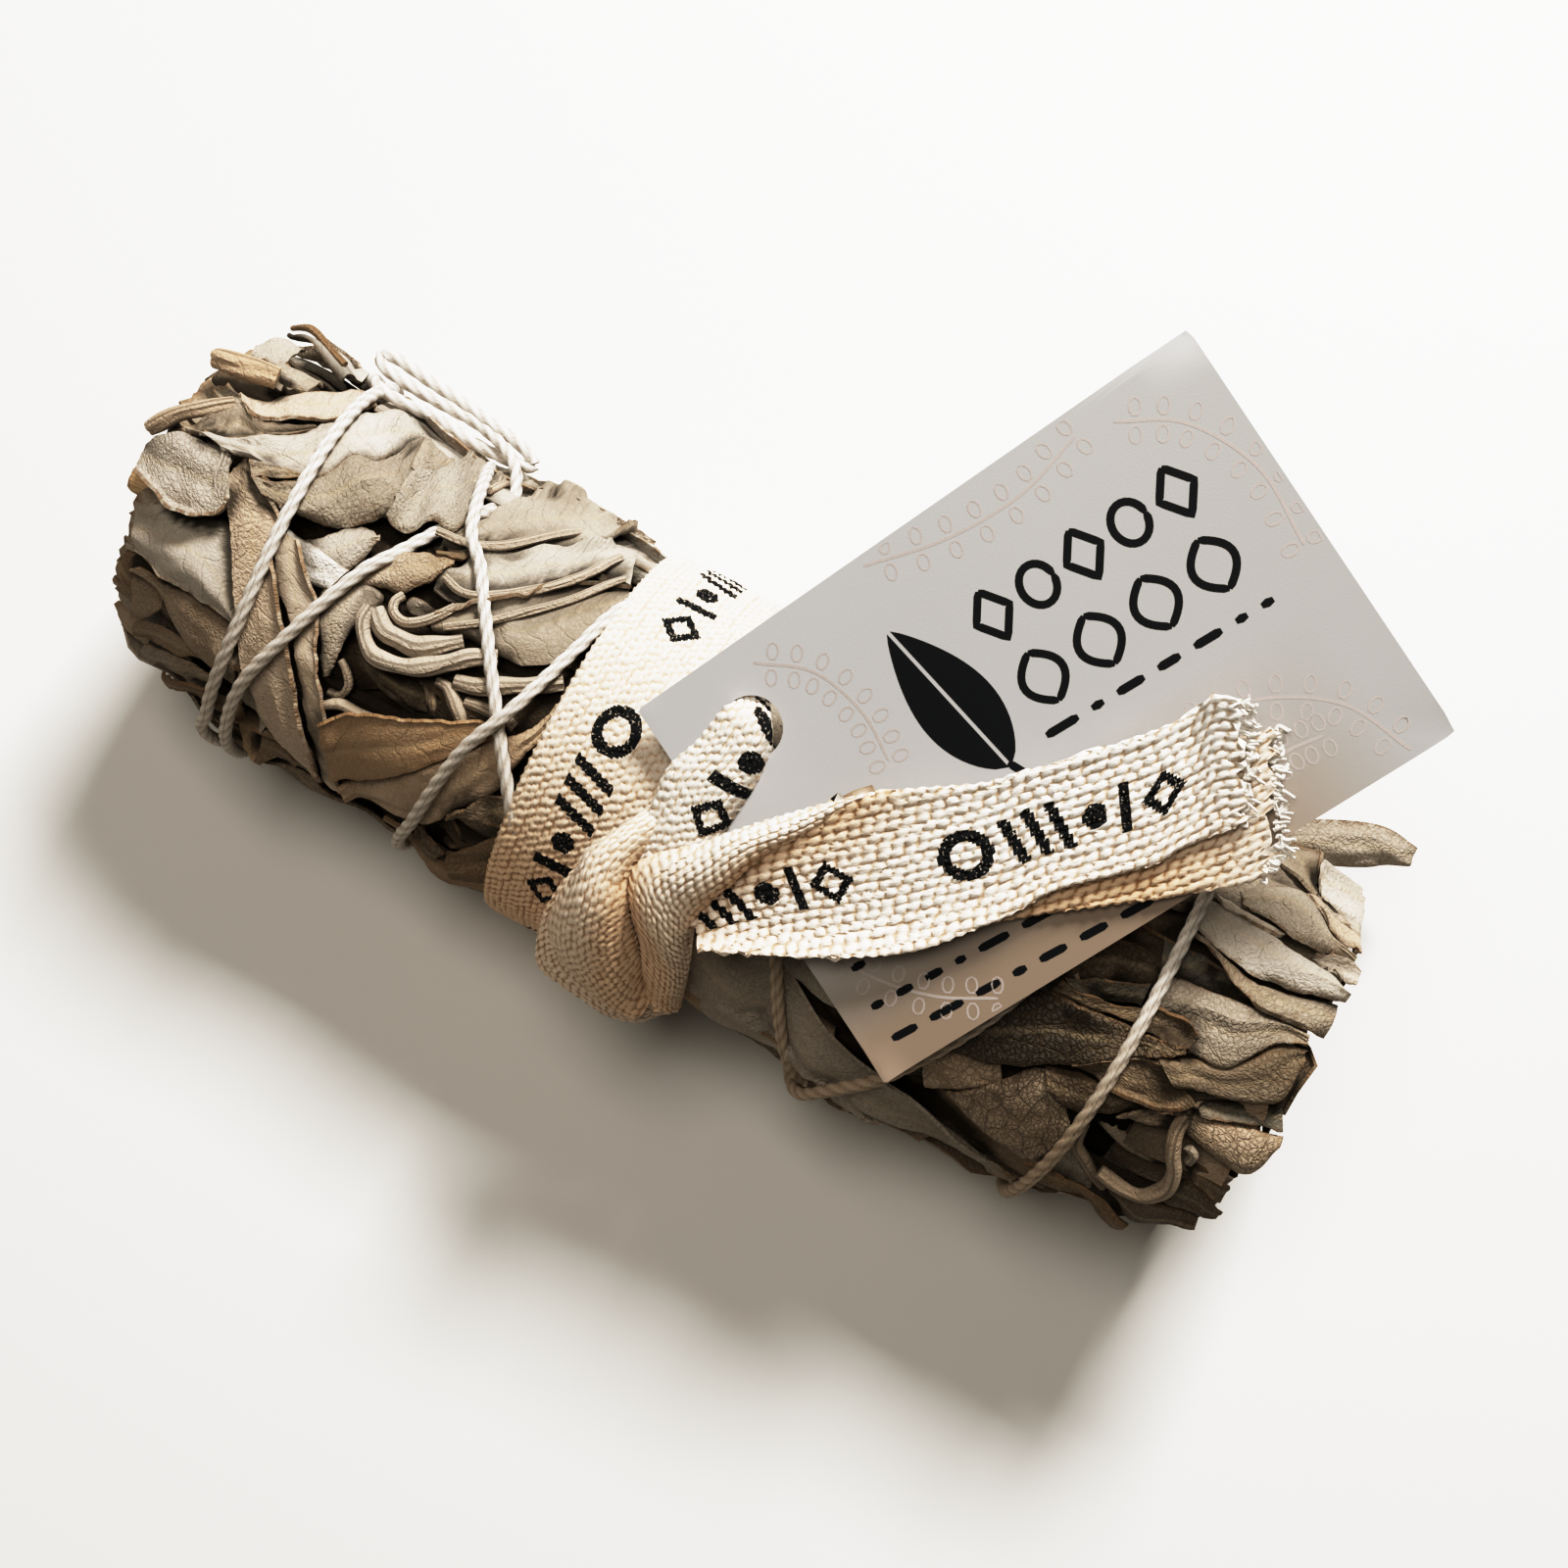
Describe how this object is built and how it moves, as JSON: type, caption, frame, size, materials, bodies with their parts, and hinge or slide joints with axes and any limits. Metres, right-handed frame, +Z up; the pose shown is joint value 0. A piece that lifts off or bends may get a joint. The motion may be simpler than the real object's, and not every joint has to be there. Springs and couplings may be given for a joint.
{
  "type": "dried sage bunch",
  "caption": "Dried white sage leaves packed into a cylindrical bunch, wound with cotton twine and tied with a knotted woven tape that holds a card tag.",
  "frame": {"origin": "on the flat strip underneath the bunch, near the middle of its length, just beside the tape band", "axes": "+X along the bunch from the butt end with the cut stems to the leafy end, +Z up, -Y towards the side where the tape is knotted"},
  "size_m": [0.1602, 0.0874, 0.0765],
  "materials": {
    "sage_leaf": "matt, felted, finely veined dried leaf",
    "sage_stem": "matt dried stem",
    "cotton_twine": "matt, twisted in three strands",
    "woven_tape": "matt, coarse basket weave with a bare printed stripe",
    "printed_card": "smooth matt card with printed ornament"
  },
  "bodies": {
    "root": {"sage_leaves": "sage_leaf", "stem_1": "sage_stem", "stem_2": "sage_stem", "stem_3": "sage_stem", "stem_4": "sage_stem", "stem_5": "sage_stem", "twine": "cotton_twine", "cotton_tape": "woven_tape", "card_tag": "printed_card"}
  },
  "joints": []
}
